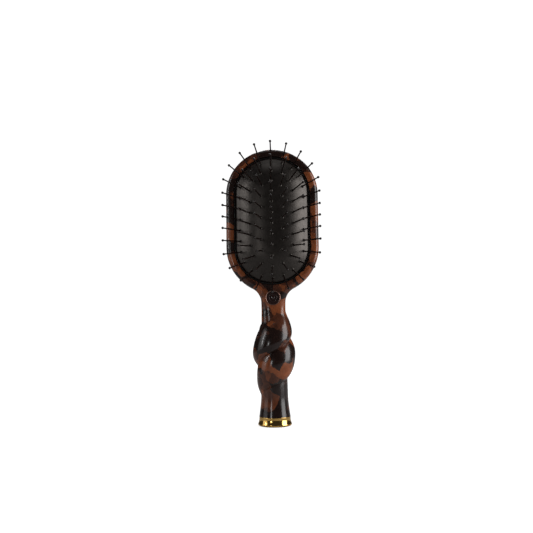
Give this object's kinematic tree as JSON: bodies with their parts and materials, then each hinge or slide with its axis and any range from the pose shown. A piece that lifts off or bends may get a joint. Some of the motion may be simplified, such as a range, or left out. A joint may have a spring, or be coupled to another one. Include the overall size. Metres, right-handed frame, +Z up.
{
  "type": "cushion hairbrush",
  "caption": "Oval cushion hairbrush with ball-tipped pins, a twisted two-strand grip and a metal foot cap that it stands on",
  "frame": {"origin": "centre of the foot cap's flat underside", "axes": "+Z up along the brush from foot to head, -Y the way the pins face, +X to the right as the pins are seen"},
  "size_m": [0.0732, 0.0526, 0.2112],
  "materials": {
    "tortoiseshell": "polished acetate, amber patches over near-black brown",
    "cushion_rubber": "satin black-brown rubber",
    "black_gloss": "smooth black",
    "pin_nylon": "semi-gloss nylon with a warm brown-black colour",
    "dark_enamel": "polished dark brown inlay",
    "rim_metal": "polished dark bronze tone",
    "gold_plate": "polished gold plating",
    "bright_steel": "turned steel",
    "insert_brass": "turned brass"
  },
  "bodies": {
    "handle": {"handle_body": "tortoiseshell", "cushion_pad": "cushion_rubber", "pad_ring": "black_gloss", "medallion_disc": "dark_enamel", "medallion_rim": "rim_metal", "end_cap": "gold_plate", "cap_stud": "bright_steel", "threaded_insert": "insert_brass"},
    "centre_pins": {"pins_centre": "pin_nylon"},
    "third_pins": {"pins_third": "pin_nylon"},
    "second_pins_right": {"pins_second_right": "pin_nylon"},
    "second_pins_left": {"pins_second_left": "pin_nylon"},
    "outer_pins_right": {"pins_outer_right": "pin_nylon"},
    "outer_pins_left": {"pins_outer_left": "pin_nylon"}
  },
  "joints": [
    {"name": "centre_press", "type": "slide", "parent": "handle", "child": "centre_pins", "axis": [0, 1, 0], "range_m": [0, 0.003], "stiffness_N_per_m": 1980, "deforming": ["cushion_pad"]},
    {"name": "third_press", "type": "slide", "parent": "handle", "child": "third_pins", "axis": [0, 1, 0], "range_m": [0, 0.00298], "stiffness_N_per_m": 5280},
    {"name": "second_right_press", "type": "slide", "parent": "handle", "child": "second_pins_right", "axis": [0, 1, 0], "range_m": [0, 0.00252], "stiffness_N_per_m": 3630},
    {"name": "second_left_press", "type": "slide", "parent": "handle", "child": "second_pins_left", "axis": [0, 1, 0], "range_m": [0, 0.00252], "stiffness_N_per_m": 3630},
    {"name": "outer_right_press", "type": "slide", "parent": "handle", "child": "outer_pins_right", "axis": [0, 1, 0], "range_m": [0, 0.000671], "stiffness_N_per_m": 4620},
    {"name": "outer_left_press", "type": "slide", "parent": "handle", "child": "outer_pins_left", "axis": [0, 1, 0], "range_m": [0, 0.000671], "stiffness_N_per_m": 4620}
  ],
  "couplings": [
    {"joint": "third_press", "follows": "centre_press", "ratio": 0.994},
    {"joint": "second_right_press", "follows": "centre_press", "ratio": 0.841},
    {"joint": "second_left_press", "follows": "centre_press", "ratio": 0.841},
    {"joint": "outer_right_press", "follows": "centre_press", "ratio": 0.223},
    {"joint": "outer_left_press", "follows": "centre_press", "ratio": 0.223}
  ]
}
